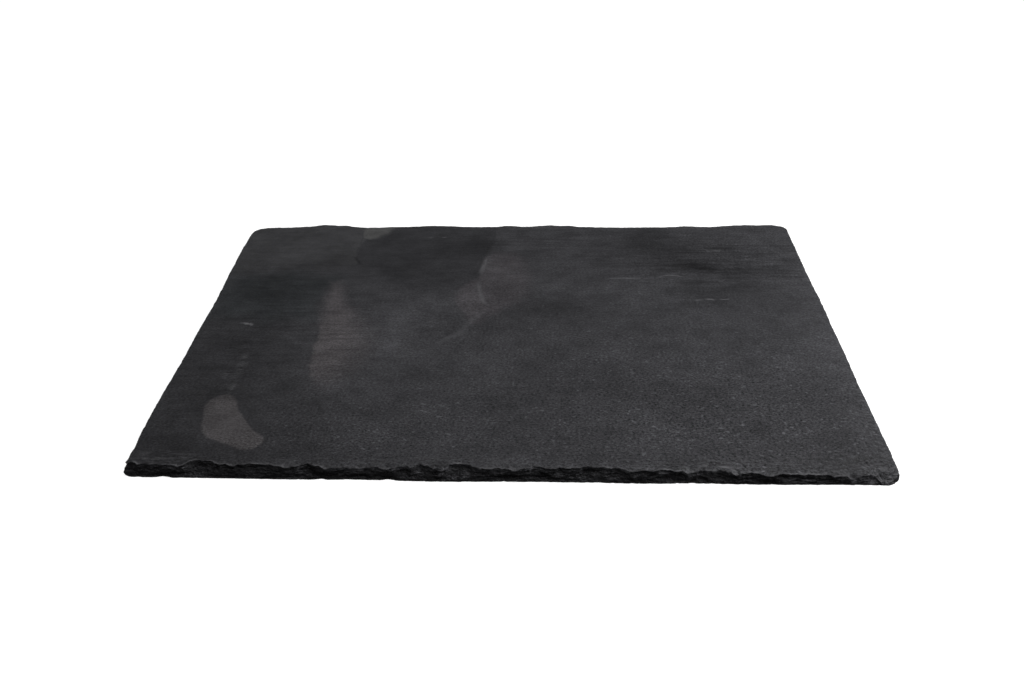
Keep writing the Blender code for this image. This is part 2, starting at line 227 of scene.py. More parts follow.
# Fine lines: (line, half width, strength). Light ones are painted highlights along step edges,
# partly bruised edges; cracks, below 0, are dark.
HIGHLIGHT_AND_CRACK_LINES = [
    ([(-39, -18.5), (-33.3, -14.7), (-29.4, -11.3), (-26, -8), (-23.4, -4.7), (-22, -0.2),
      (-19.4, 4.2), (-16, 9), (-12, 13)], 3.2, 0.34),
    ([(-18.4, 43), (-18.2, 35.5), (-17.2, 30), (-16.1, 24.5), (-14.6, 20.3), (-11, 16)], 2, 0.6),
    ([(-17.9, 46), (-17.3, 54), (-16, 60), (-15.5, 66)], 2.4, 0.6),
    ([(-132, 0.7), (-129.5, 0.4), (-127.3, -0.1), (-124.4, -0.9)], 1, 0.9),
    ([(-129.8, 0.4), (-127.3, -0.1), (-124.8, -0.8)], 1.4, 5.5),
    ([(72, 43), (75, 45.3), (78.5, 46.6), (83, 46.3), (87.5, 44.4)], 1.2, 0.95),
    ([(89, 22), (91.5, 22.6), (94, 22.6)], 0.8, 0.7),
    ([(94.5, 23.3), (97, 23.4), (99.5, 22.8)], 1.1, 0.9),
    ([(101, 22.9), (104, 23.2), (107, 23.6)], 0.8, 0.7),
    ([(47, 43), (55, 43.6), (65, 43.2)], 1, 0.7),
    ([(100, 71.6), (106, 72.2), (113, 71.6)], 1.1, 0.6),
    ([(82, -96.5), (86, -98), (90, -99.6)], 0.9, 0.6),
    ([(68, -97), (71, -98.6), (73, -100)], 0.9, 0.4),
    ([(-49.5, 86.8), (-46.5, 87)], 0.9, 0.9),
    ([(-42, 87.2), (-39.5, 87)], 0.9, 0.9),
    ([(-99, 68), (-93, 66.6), (-88, 65.6)], 1, -0.25),
    ([(-88, 66.5), (-86, 63.5), (-83.5, 59), (-80, 55)], 1.3, -0.45),
    ([(-86, 90), (-86.4, 78), (-87.4, 67)], 0.9, -0.2),
    ([(-89, -21.2), (-80, -21), (-70.5, -21.4)], 0.7, -0.5),
    ([(-91, 0.2), (-86, -0.2), (-81, 0)], 0.7, -0.4),
    ([(83, 57.5), (90, 57.8), (97, 57.2)], 1.3, -0.35),
    ([(86, 54), (98, 53.6), (111, 52.4)], 1.6, -0.5),
    ([(98, 50.6), (110, 50)], 1.2, -0.25),
    ([(87, 39.8), (97, 39.4), (108, 40)], 1.2, -0.25),
    ([(128, 46), (138, 45.6), (149, 44.6)], 1.2, -0.35),
    ([(113, 65), (128, 64.6)], 1.2, -0.2),
    ([(111, 62.4), (129, 62)], 1.1, 0.15),
    ([(101, 74), (115, 73.8)], 1.1, -0.2),
    ([(131, -94.5), (137, -92.6), (143, -91), (150, -88.8)], 0.9, -0.5),
]
LINE_REACH = 5.0
LINE_TAPER = 0.25

# Bruised places, most at the rim, paler and flaky: (x, y, half width, half depth, strength).
BRUISES = [
    (-137, -95.5, 14, 3, 1.5), (-108, -99, 8, 3, 0.4), (-80, -98, 14, 3, 0.6),
    (-52, -97, 14, 3, 0.6), (-24, -96, 9, 3, 0.6), (-2, -97, 8, 3, 0.6), (58, -98, 8, 3.5, 1.4),
    (86, -97.5, 15, 3.5, 1.5), (116, -98, 13, 3.5, 1.4), (146, -98, 7, 6, 1.5),
    (150, 50, 2, 30, 0.6), (150, -66, 2.5, 34, 1.2), (-2, 99, 60, 2, 0.8), (100, 100, 40, 2, 0.9),
    (-115, 99, 30, 2, 0.6), (-121.8, -27, 1, 1.2, 3), (-121.6, -35, 1.7, 5, 1.5),
    (-125, -41, 4, 2, 1.1), (-121.4, -50, 1, 4, 2), (-14.5, 58, 2.2, 7, 1.8), (-2, 47, 3, 3, 0.7)
]
# Painted highlights, partly pale wear, at jutting points of the front rim: (place, half width,
# strength).
RIM_GLINTS = [
    (-146, 1.5, 1.6), (-129, 3, 0.7), (-123, 2, 0.5), (-113, 4, 0.7), (-109, 1.5, 0.8),
    (-99, 2.5, 0.8), (-94, 3, 0.5), (-87.5, 2, 1.2), (-72, 2, 1), (-57, 1.5, 0.6), (-46, 3, 0.5),
    (-18, 1.2, 1.6), (-9, 2, 0.6), (0, 4, 0.4), (25, 2, 0.5), (39, 1.5, 1.2), (47, 4, 0.4),
    (62, 2, 1.2), (66, 1.5, 0.8), (71, 2, 1.2), (89, 2, 1.2), (96, 3, 0.6), (103, 2, 0.6),
    (112, 3, 1.5), (119, 3, 1.2), (134, 1.5, 0.8), (146, 5, 0.8)
]
RIM_GLINT_REACH = 1.0

# Soft tones of the upper face: (x, y, half width, half depth, gain). A gain of 0.2 is 20% lighter.
TONES = [
    (-122, 27, 18, 14, -0.2), (-130, -45, 36, 60, -0.32), (146, -88, 24, 14, -0.25),
    (-125, -97, 32, 9, -0.3), (-140, -87, 12, 8, -0.2), (105, -95, 50, 8, -0.14),
    (-60, -96, 34, 7, -0.16), (-17, -90, 20, 10, -0.14), (-24, 77, 13, 10, -0.24),
    (74, 82, 18, 20, -0.28), (64, 67, 22, 18, -0.21), (96, 56, 18, 7, -0.5), (19, 13, 21, 10, -0.4),
    (-4, 0, 9, 9, -0.14), (103, 31, 22, 10, -0.3), (145, 0, 9, 95, 0.21), (143, 51, 9, 13, -0.24),
    (122, 50, 13, 12, -0.27), (107, 71, 24, 9, -0.33), (-9, 55, 8, 12, 0.3),
    (22, -36, 22, 8, -0.12), (24, -53, 22, 8, -0.16), (60, -51, 24, 9, -0.14),
    (-84, -75, 10, 22, -0.12), (-78, 30, 30, 12, -0.04), (-50, 10, 26, 18, 0.18),
    (-26, -30, 24, 8, 0.14), (-60, -50, 16, 10, 0.12), (-57, -14, 10, 26, 0.27),
    (-78, -51, 9, 7, 0.12), (-100, 11, 10, 8, 0.2), (-130, 16, 8, 4, 0.15),
    (-100, -68, 10, 8, 0.12), (84, -30, 14, 9, 0.12), (60, 8, 13, 8, 0.1), (20, 35, 8, 6, 0.2),
    (55, 30, 14, 12, 0.14), (40, -10, 14, 8, 0.1), (110, -34, 16, 14, 0.1),
    (-101, 62, 14, 14, -0.32), (-138, 62, 12, 16, -0.2), (38, 87, 11, 4, 0.14),
    (140, 91, 12, 8, 0.19), (-107, -86, 8, 6, -0.14), (-121, -63, 6, 6, 0.14),
    (140, -60, 10, 18, -0.12), (0, -64, 12, 12, -0.15), (-20, 30, 6, 8, 0.14),
    (-72, 64, 9, 12, 0.17), (-22, 93, 12, 6, 0.34), (-58, 93, 12, 5, 0.2), (-84, -34, 8, 8, 0.14),
    (-26, -99, 5, 2.5, -0.45), (4, -99.5, 6, 2, -0.25), (140, -70, 10, 10, -0.08),
    (-98, -50, 8, 8, -0.08), (-101, -8, 8, 11, 0.15), (-80, 25, 6, 12, 0.1), (-20, 11, 6, 6, 0.12),
    (40, 70, 10, 10, -0.08), (102, 90, 10, 6, -0.1), (122, -50, 14, 10, -0.12),
    (84, -52, 12, 8, -0.07), (-40, 46, 16, 8, -0.14), (-112, 84, 26, 12, -0.08)
]

# Paler and darker places on the front side: pale bruises, and painted light and shade standing in
# for relief, painted shade in notches and painted glints on flakes: (place, height, half width,
# half height, gain).
SIDE_MARKS_AND_SHADING = [
    (-133, 5.7, 5, 0.7, 0.9), (-129.5, 5, 2, 0.4, 3.5), (-133, 3, 7, 1.5, -0.6),
    (-125, 1.2, 4, 0.7, 0.6), (-119, 4, 7, 2.5, -0.35), (-107, 1.8, 6, 0.7, -0.6),
    (-107, 4.5, 5, 2, -0.3), (-91, 3, 5, 2.4, -0.5), (-87, 6.6, 1.2, 0.4, 3),
    (-85.5, 0.5, 3, 0.3, 1.4), (-82, 4, 3, 2, 0.4), (-76, 5, 4, 1.5, -0.8), (-72, 3, 5, 1.2, -0.7),
    (-66.5, 0.6, 1.5, 0.4, 1.6), (-62, 5, 10, 1.3, 1.2), (-46, 5.5, 7, 0.8, 1.2),
    (-60, 2.2, 8, 0.6, -0.6), (-46, 4, 4, 0.6, -0.6), (-43.5, 6.6, 3, 0.3, 2),
    (-34, 4, 1, 0.5, 2.6), (-28.5, 5.3, 1, 0.4, 3.5), (-25.5, 3.8, 0.8, 0.4, 3.5),
    (-22, 6.4, 3.5, 1.2, 3), (-20.5, 2, 1.5, 0.5, 1.4), (-22, 3.5, 9, 1.5, -0.35),
    (-15.5, 3, 1.5, 1, 1), (3, 5.2, 6, 1, 1.4), (10.5, 5.7, 3, 0.35, 3.5), (2, 2.2, 6, 0.8, -0.8),
    (15, 3.5, 3, 1.5, -0.8), (21.5, 3, 1.2, 0.8, 1.2), (38.5, 6.5, 1.5, 0.5, 3),
    (41, 5.5, 2, 0.5, 1.8), (47, 6.6, 3, 0.6, 1.8), (50, 4, 1.5, 1, 1.2), (48.5, 3, 1.5, 1, -0.6),
    (54.5, 4.2, 1, 0.6, 2), (61, 5.5, 2, 1, 1.5), (67, 4.5, 3, 1, -0.7), (66, 0.8, 4, 0.5, 1.2),
    (76, 5.2, 5, 1.4, 0.9), (28, 3.5, 10, 2, -0.2), (85, 5.2, 4, 0.8, 0.5),
    (71.5, 4.5, 0.8, 1.2, 3.5), (90.3, 4, 0.4, 1.2, 3.5), (98, 4.5, 4, 1, -0.5),
    (104, 2.5, 4, 1, -0.7), (109, 2, 2, 1, 1.8), (116, 1.8, 4, 0.7, 1), (134, 2.4, 0.8, 1.2, 3.5),
    (144, 1.7, 5, 1.9, 2.4)
]
# The darkest the front side's places may go, painted shade among them.
DARKEST_SIDE_MARK_AND_SHADE = -0.85

# Fine grain, on a scale where 1 is its strength in the middle: (x, y, half width, half depth, add).
GRAINS = [
    (-120, 70, 60, 60, -0.7), (-40, 75, 50, 35, -0.5), (90, -70, 90, 50, 1.1),
    (147, -97, 8, 8, 1.2), (95, -99, 45, 4, 0.9), (70, 85, 25, 20, -0.1), (-60, -85, 70, 30, 0.8),
    (20, -20, 60, 30, 0.2), (110, 70, 40, 25, 0.35), (-115, -73, 13, 16, -0.7)
]
# Streaks along X, where the grain of the slate shows: the same form, from none.
STREAKS = [
    (100, 58, 34, 22, 1.35), (143, 50, 14, 20, 0.5), (-120, 0, 30, 60, 0.7), (20, 80, 50, 20, 0.6),
    (-110, -75, 30, 20, 0.15), (-80, -10, 14, 30, 0.5), (-114, -72, 14, 16, -0.5),
    (130, 80, 30, 20, 0.5)
]

# Materials: how light the stone is, and its tint.
SLATE_ALBEDO = 0.0297
SIDE_ALBEDO = 0.0205
SIDE_DARKEST = 0.002
# How light the painted glints on the broken sides' crests are.
RIDGE_GLINT_ALBEDO = 0.03
SLATE_TINT = (0.994, 0.990, 1.074)
# Pale colour of wear and bruises, used also for painted highlights.
WEAR_AND_HIGHLIGHT_COLOUR = (0.085, 0.085, 0.09, 1.0)
SPECULAR = 0.08
FACE_ROUGHNESS = (0.3, 0.7, 0.62, 0.5)
SIDE_ROUGHNESS = (0.3, 0.7, 0.7, 0.45)
FACE_BUMP = 0.15
SIDE_BUMP = 0.45
STREAK_HEIGHT = 0.6
CLOUD_HEIGHT = 1.5
BRUISE_HEIGHT = 3.0
LAYER_HEIGHT = 0.8

# Noises of the stone: wavelengths along X, Y and Z, detail, roughness and seed.
NOISES = {
    "broad": ((40, 26, 40), 3, 0.5, 0),
    "cloud": ((11, 8, 11), 4, 0.65, 3),
    "streaks": ((24, 2, 9), 3, 0.7, 7),
    "grain": ((1.15, 0.8, 1), 2, 0.8, 1),
    "glint_specks": ((2.2, 1.2, 1.6), 1, 0.5, 2),
    "line": ((2.5, 2.5, 2.5), 3, 0.6, 14),
    "bruise": ((4.5, 1.1, 2), 4, 0.7, 12),
    "wear_width": ((4, 4, 4), 4, 0.7, 11),
    "wear": ((0.9, 0.9, 0.9), 3, 0.7, 13),
    "rim_glint": ((1.2, 1.2, 1.2), 2, 0.6, 15),
    "layers": ((7, 7, 0.4), 3, 0.6, 2),
    "flakes": ((1.3, 1.3, 0.7), 4, 0.7, 5),
    "ridge_glint": ((2.5, 2.5, 2.5), 3, 0.6, 8),
    "under_broad": ((40, 26, 40), 4, 0.55, 21),
    "under_streaks": ((20, 1.5, 9), 3, 0.6, 22),
}
UNDER_SHIFT = 22.0
FACETS = (1.1, 1.1, 0.7)
# How far a noise makes the colour stray. For streaks: so much of their mask, and a little more.
STRAY = {"broad": 0.08, "cloud": 0.115, "layers": 0.2, "flakes": 0.3, "under_broad": 0.1,
         "under_streaks": 0.05}
STREAK_STRAY = (0.2, 0.04)
GRAIN_STRAY = 0.275
UNDER_GRAIN = 0.8
NOISE_TO_UNIT = 9.0
# Where a noise lets something show: the noise's range, and how strong it is there if not 0 to 1.
SHOWS = {"glint_specks": (0.62, 0.74), "line": (0.3, 0.6, 0.3, 1), "bruise": (0.44, 0.66),
         "wear_width": (0.45, 0.7, 0, 1.6), "wear": (0.4, 0.65), "rim_glint": (0.35, 0.6, 0.3, 1),
         "ridge_glint": (0.45, 0.65)}
CREST_RANGE = (0.03, 0.25)
GLINT_SPECK_GAIN = 0.34
BRUISE_GAIN = 0.45
WEAR_GAIN = 0.4
WEAR_EDGE = 0.2
PATCH_DETAIL = 3.0

# Camera at the photograph's viewpoint, in the slab's frame before the slab is centred.
CAMERA_AT = (13.54, -360.52, 248.05)
CAMERA_YAW, CAMERA_PITCH, CAMERA_ROLL = -2.749, 34.806, -1.292
CAMERA_LENS = 31.99
CAMERA_SENSOR = 36.0
CAMERA_SHIFT = 0.00684
CAMERA_NEAREST = 0.01

# Studio: (name, place, size, power, target), in metres and watts.
LAMPS = [("right_softbox", (0.50, -0.05, 0.45), 0.40, 4.6, (0.05, 0.0, 0.0)),
         ("top_softbox", (0.20, -0.50, 2.60), 1.60, 40.0, (0.0, 0.0, 0.0))]
WORLD_LIGHT = 0.12
FLOOR_SIZE = 12.0
WALL_HEIGHT = 9.0
WHITE = (1.0, 1.0, 1.0, 1.0)
STUDIO_LOOK = {"Base Color": (0.35, 0.35, 0.35, 1.0), "Roughness": 0.9, "Specular IOR Level": 0.1,
               "Emission Color": WHITE, "Emission Strength": 0.82}


def blend(start, end, value):
    """Smooth 0 to 1 ramp between two values."""
    share = np.clip((value - start) / (end - start), 0.0, 1.0)
    return share * share * (3.0 - 2.0 * share)


def noise_values(xs, ys, level):
    """Smooth noise at points of one level."""
    return np.array([noise.noise(Vector((x, y, level))) for x, y in zip(xs, ys)])


def waves(xs, ys, noises, shift=0.0):
    """Sum of a noise's waves over points, read as far on as the shift says."""
    seed, wave_list = noises
    total = np.zeros(len(xs))
    for number, (length, height) in enumerate(wave_list):
        along_x, along_y = length if isinstance(length, tuple) else (length, length)
        level = seed + shift + SEED_STEP * number
        total += height * noise_values(xs / along_x, ys / along_y, level)
    return total


# ---- Outline ----

def arc_points(centre, radius, first_angle):
    """Quarter turn of a corner, as (point, way outwards) pairs."""
    steps = round(radius * math.pi / 2.0 / CORNER_SPACING)
    angles = [first_angle + math.pi / 2.0 * step / steps for step in range(steps + 1)]
    outwards = [Vector((math.cos(angle), math.sin(angle))) for angle in angles]
    return [(centre + outward * radius, outward) for outward in outwards]


def side_points(start, end, outward):
    """Even points between two corners, without the corners' own."""
    count = round((end - start).length / (FRONT_SPACING if outward.y < -0.5 else POINT_SPACING))
    return [(start.lerp(end, step / count), outward) for step in range(1, count)]


def read_bow(bow, places):
    """Smoothly joined values of a list of (place, value) points."""
    starts, values = np.array(bow, float).T
    index = np.clip(np.searchsorted(starts, places) - 1, 0, len(starts) - 2)
    share = blend(starts[index], starts[index + 1], places)
    return values[index] + (values[index + 1] - values[index]) * share


class Outline:
    """Points round the slab, anticlockwise from above, and their edges."""

    def __init__(self):
        arcs = []
        for number, (radius, side_x, side_y) in enumerate(CORNERS):
            centre = Vector((side_x * (LENGTH / 2.0 - radius), side_y * (WIDTH / 2.0 - radius)))
            arcs.append(arc_points(centre, radius, math.pi + number * math.pi / 2.0))
        outline = []
        for arc, following in zip(arcs, arcs[1:] + arcs[:1]):
            outline += arc
            outline += side_points(arc[-1][0], following[0][0], arc[-1][1])
        self.points = np.array([point for point, _ in outline])
        self.outwards = np.array([outward for _, outward in outline])
        self.x, self.y = self.points.T
        out_x, out_y = self.outwards.T
        self.along_x = np.abs(out_y) >= np.abs(out_x)
        self.edges = {"front": self.along_x & (out_y < 0), "back": self.along_x & (out_y > 0),
                      "right": ~self.along_x & (out_x > 0), "left": ~self.along_x & (out_x < 0)}
        self.away_from_front = blend(-1.0, 0.0, out_y)
        bow_x = np.where(out_x > 0, read_bow(RIGHT_BOW, self.y), read_bow(LEFT_BOW, self.y))
        bow_y = np.where(out_y > 0, read_bow(BACK_BOW, self.x), read_bow(FRONT_BOW, self.x))
        self.bowed = self.points + self.outwards * np.column_stack((bow_x, bow_y))
        self.rim_line = rim_line(self)

    def moved_in(self, depth):
        """The bowed points, each moved in by its depth."""
        return self.bowed - self.outwards * depth[:, None]


# ---- Broken sides ----

def rim_line(outline):
    """How far in the rim lies, or how much a chip takes off it where negative."""
    x, y, left = outline.x, outline.y, outline.edges["left"]
    line = np.interp(x, *np.array(FRONT_RIM).T) + waves(x, y, FRONT_RIM_RAGGED)
    line *= outline.edges["front"]
    line[left] = np.interp(y[left], *np.array(LEFT_RIM).T)
    return line


def drawn_scoops(generator, length, gap, draw):
    """Scoops of one kind along an edge, drawn at random."""
    scoops = []
    place = -length / 2.0 + generator.uniform(*gap)
    while place < length / 2.0:
        sizes = [generator.uniform(*bounds) for bounds in draw]
        scoops.append((place, *sizes))
        place += generator.uniform(*gap)
    return scoops


def all_scoops():
    """Scoops of each edge, by the edge's name."""
    generator = random.Random(SEED)
    scoops = {}
    for edge, length in (("front", LENGTH), ("right", WIDTH), ("back", LENGTH), ("left", WIDTH)):
        scoops[edge] = drawn_scoops(generator, length, SCOOP_GAP, SCAR_DRAW)
        if edge != "front":
            scoops[edge] += drawn_scoops(generator, length, FOOT_GAP, FOOT_DRAW)
    return scoops


def scoop_depth(scoops, places, heights):
    """Depth of the deepest scoop, so that scoops meet in sharp ridges."""
    depth = np.zeros(len(places))
    for place, half_width, full_depth, middle, half_height, sharpness in scoops:
        across = np.abs((places - place) / half_width) ** (1.0 / sharpness)
        up = np.abs((heights - middle) / half_height) ** (1.0 / sharpness)
        bowl = np.clip(1.0 - across - up, 0.0, 1.0) ** sharpness
        depth = np.maximum(depth, full_depth * bowl)
    return depth


def hackle_depth(outline, height):
    """Depth of the hollows between sharp ridges, at one height of the sides."""
    along = np.where(outline.along_x, outline.x, outline.y + 3.0 * LENGTH)
    depth = np.zeros(len(along))
    for number, ((length, rise), full_depth) in enumerate(HACKLE):
        level = HACKLE_SEED + HACKLE_SEED_STEP * number
        up = np.full(len(along), height / rise)
        depth += full_depth * np.abs(noise_values(along / length, up, level))
    return depth


def side_depth(outline, share, scoops):
    """How far in the broken side lies, at one share of its height."""
    x, y = outline.x, outline.y
    height = THICKNESS * share + waves(x, y, LAYER_TILT)
    layer = np.searchsorted(LAYER_TOPS, height)
    bottoms = np.array([0.0, *LAYER_TOPS[:-1]])
    middle = (bottoms[layer] + np.minimum(np.array(LAYER_TOPS)[layer], THICKNESS)) / 2.0
    depth = np.zeros(len(x))
    for edge, mask in outline.edges.items():
        places = (x if edge in ("front", "back") else y)[mask]
        smooth = scoop_depth(scoops[edge], places, height[mask])
        stepped = scoop_depth(scoops[edge], places, middle[mask])
        depth[mask] = smooth + (stepped - smooth) * STEPPED_SHARE
    layered = share + (middle / THICKNESS - share) * STEPPED_SHARE
    layered -= waves(x, y, SLOPE_WANDER)
    fall = np.where(outline.edges["front"], blend(*FRONT_SLOPE, layered),
                    blend(*LEFT_SLOPE, layered))
    depth = np.maximum(depth, np.maximum(outline.rim_line, 0.0) * fall)
    offset = np.zeros(len(x))
    for number in range(len(LAYER_TOPS)):
        mask = layer == number
        offset[mask] = waves(x[mask], y[mask], LAYER_WANDER, LAYER_SEED_STEP * number)
    quiet = 1.0 - (1.0 - QUIET_EDGE) * np.abs(2.0 * share - 1.0) ** 4
    chamfer = FOOT_CHAMFER * blend(FOOT_SHARE, 0.0, share)
    depth *= 1.0 - WHOLE_RIM * blend(WHOLE_FROM, 1.0, share) * outline.away_from_front
    depth -= STAND_OUT * blend(1.0, STAND_OUT_BELOW, share) * outline.away_from_front
    hackle = hackle_depth(outline, THICKNESS * share)
    hackle *= HACKLE_FOOT + (1.0 - HACKLE_FOOT) * blend(0.0, HACKLE_FOOT_TOP, share)
    softened = (1.0 - HACKLE_RIM) * blend(HACKLE_RIM_FOOT, 1.0, share) * outline.away_from_front
    hackle *= 1.0 - softened
    return depth + offset * quiet + hackle + chamfer


# ---- Upper face ----

def line_distance(line, xs, ys):
    """Signed distance to a line, positive on its left, the run along it, and its length."""
    best = np.full(len(xs), np.inf)
    signed = np.zeros(len(xs))
    run = np.zeros(len(xs))
    start_run = 0.0
    for (ax, ay), (bx, by) in zip(line, line[1:]):
        length = math.hypot(bx - ax, by - ay)
        share = np.clip(((xs - ax) * (bx - ax) + (ys - ay) * (by - ay)) / length ** 2, 0.0, 1.0)
        away_x, away_y = xs - ax - share * (bx - ax), ys - ay - share * (by - ay)
        distance = np.hypot(away_x, away_y)
        side = np.sign((bx - ax) * (ys - ay) - (by - ay) * (xs - ax))
        nearer = distance < best
        best[nearer] = distance[nearer]
        signed[nearer] = (distance * side)[nearer]
        run[nearer] = (start_run + share * length)[nearer]
        start_run += length
    return signed, run, start_run


def smooth_line(line):
    """A smooth curve through the line's points."""
    points = [Vector(point) for point in line]
    points = [2 * points[0] - points[1], *points, 2 * points[-1] - points[-2]]
    curve = []
    for before, start, end, after in zip(points, points[1:], points[2:], points[3:]):
        count = max(1, round((end - start).length / CURVE_SPACING))
        for step in range(count):
            t = step / count
            curve.append(0.5 * (2 * start + (end - before) * t
                                + (2 * before - 5 * start + 4 * end - after) * t ** 2
                                + (3 * start - before - 3 * end + after) * t ** 3))
    return [tuple(point) for point in curve] + [tuple(points[-2])]


@cache
def step_curves():
    """The smooth curve of each step."""
    return [smooth_line(line) for line, *_ in STEPS]


def face_drop(xs, ys):
    """How far the upper face lies under its highest level."""
    relief = waves(xs, ys, UNDULATION)
    for curve, (_, drop, fade, taper) in zip(step_curves(), STEPS):
        distance, run, length = line_distance(curve, xs, ys)
        ends = np.clip(np.minimum(run, length - run) / taper, 0.0, 1.0)
        fall = blend(-STEP_WIDTH / 2.0, STEP_WIDTH / 2.0, distance)
        left = np.clip(1.0 - np.maximum(distance, 0.0) / fade, 0.0, 1.0)
        relief += drop * fall * left * ends
    return relief + sum(height for _, height in UNDULATION[1]) * 0.5


def rim_losses(outline):
    """What lowers the rim: (how far, reach inwards, curve of the fall)."""
    worn = blend(*WORN_ALONG_X, outline.x) * blend(*WORN_ALONG_Y, outline.y)
    chips = np.maximum(-outline.rim_line, 0.0)
    losses = [(WORN_DROP * worn, WORN_REACH, WORN_CURVE),
              (CHIP_STEEPNESS * chips, CHIP_REACH, 1.0)]
    for x, y, drop, width, reach in CHIPPED_CORNERS:
        distance = np.hypot(outline.x - x, outline.y - y)
        losses.append((drop * blend(width, 0.0, distance), reach, 1.0))
    return losses


def rim_drop(xs, ys, losses, inwards):
    """How far wear, chips and flaking lower points at a distance in from the rim."""
    drop = sum(depth * max(0.0, 1.0 - inwards / reach) ** curve for depth, reach, curve in losses)
    for sheet_drop, reach, ragged in SHEETS:
        reach = reach + waves(xs, ys, ragged)
        drop = drop + sheet_drop * blend(SHEET_EDGE, -SHEET_EDGE, inwards - reach)
    return drop


# ---- Mesh ----

class Shell:
    """Vertices and faces of the slab, built up ring by ring."""

    def __init__(self):
        self.points = []
        self.faces = []
        self.face_slots = []
        self.inward = []
        self.crest = []
        self.side_mark_and_shading = []

    def add_points(self, xs, ys, zs, inwards):
        """Adds points and returns the number of the first one."""
        first = len(self.points)
        self.points += list(zip(xs, ys, zs))
        self.inward += list(inwards)
        return first

    def add_faces(self, faces, slot):
        """Adds faces that share a material slot."""
        self.faces += faces
        self.face_slots += [slot] * len(faces)

    def join_rings(self, lower, upper, count, slot):
        """Skins the gap between two rings of as many points."""
        pairs = [(index, (index + 1) % count) for index in range(count)]
        self.add_faces([(lower + one, lower + next_one, upper + next_one, upper + one)
                        for one, next_one in pairs], slot)

    def add_filled(self, made, heights, inwards, faces, origins, count, ring_start, slot):
        """Adds a filled ring, whose outer points are there already."""
        new = np.array([not own or own[0] >= count for own in origins])
        start = self.add_points(*made[new].T, heights[new], inwards[new])
        numbers = start + np.cumsum(new) - 1
        numbers[~new] = [ring_start + own[0] for own in origins if own and own[0] < count]
        self.add_faces(numbers[np.array(faces)].tolist(), slot)


def inside(polygon, xs, ys):
    """Which points lie inside a closed polygon."""
    result = np.zeros(len(xs), bool)
    for (ax, ay), (bx, by) in zip(polygon, np.roll(polygon, -1, axis=0)):
        crosses = (ay > ys) != (by > ys)
        with np.errstate(divide="ignore", invalid="ignore"):
            result ^= crosses & (xs < (bx - ax) * (ys - ay) / (by - ay) + ax)
    return result


def fill_ring(ring, spacing, lines):
    """Triangles that fill a ring, with edges along the given lines."""
    generator = random.Random(SEED)
    low, high = ring.min(axis=0), ring.max(axis=0)
    grid = []
    for row in range(int((high[1] - low[1]) / spacing)):
        for column in range(int((high[0] - low[0]) / spacing)):
            jitter_x = generator.uniform(-GRID_JITTER, GRID_JITTER)
            jitter_y = generator.uniform(-GRID_JITTER, GRID_JITTER)
            grid.append((column + row % 2 / 2.0 + jitter_x, row + 0.5 + jitter_y))
    grid = low + np.array(grid) * spacing
    margin = RING_MARGIN * spacing
    centre = (low + high) / 2.0
    half = (high - low) / 2.0
    smaller = centre + (ring - centre) * (1.0 - margin / half)
    keep = inside(smaller, grid[:, 0], grid[:, 1])
    points = [Vector(point) for point in ring]
    edges = [(index, (index + 1) % len(ring)) for index in range(len(ring))]
    for line in lines:
        line = np.array(line)
        line = line[inside(smaller, line[:, 0], line[:, 1])]
        if len(line) < 2:
            continue
        distance = np.abs(line_distance(line, grid[:, 0], grid[:, 1])[0])
        keep &= distance > LINE_MARGIN * spacing
        first = len(points)
        points += [Vector(point) for point in line]
        edges += [(first + index, first + index + 1) for index in range(len(line) - 1)]
    points += [Vector(point) for point in grid[keep]]
    made, _, faces, origins, _, _ = delaunay_2d_cdt(points, edges, [], FILL_INSIDE, FILL_MERGE)
    return np.array(made), faces, origins


def step_lines():
    """Lines along the top and foot of every step."""
    lines = []
    for curve in step_curves():
        along = np.gradient(curve, axis=0)
        along /= np.linalg.norm(along, axis=1)[:, None]
        across = np.column_stack((-along[:, 1], along[:, 0])) * STEP_WIDTH / 2.0
        lines += [curve + across, curve - across]
    return lines


def crests(depths):
    """How far each point stands out from those round it."""
    around = sum(np.roll(depths, turn, axis=1) for turn in (-2, -1, 1, 2)) / 4.0
    padded = np.vstack((depths[:1], depths, depths[-1:]))
    above_below = (padded[:-2] + padded[2:]) / 2.0
    return (around + above_below) / 2.0 - depths


def build_sides(shell, outline):
    """Adds the broken sides. Returns the first and last rings' numbers, foot and rim."""
    scoops = all_scoops()
    rim = outline.moved_in(side_depth(outline, 1.0, scoops))
    nicks = np.abs(waves(*rim.T, RIM_NICKS))
    losses = rim_losses(outline)
    rim_height = THICKNESS - face_drop(*rim.T) - rim_drop(*rim.T, losses, 0.0) - nicks
    first = len(shell.points)
    rings = []
    for row in range(SIDE_ROWS):
        share = row / (SIDE_ROWS - 1)
        ring = outline.moved_in(side_depth(outline, share, scoops))
        heights = rim_height * share
        number = shell.add_points(*ring.T, heights, heights - rim_height)
        # Painted light and shade on the front side, partly pale bruises.
        marks_and_shading = np.maximum(soft_sum(SIDE_MARKS_AND_SHADING, outline.x, heights), DARKEST_SIDE_MARK_AND_SHADE)
        shell.side_mark_and_shading += list(outline.edges["front"] * marks_and_shading)
        rings.append(ring)
        if row:
            shell.join_rings(number - len(ring), number, len(ring), SIDE_SLOT)
    shell.crest = list(crests(np.linalg.norm(outline.bowed - rings, axis=2)).ravel())
    return first, number, rings[0], rim


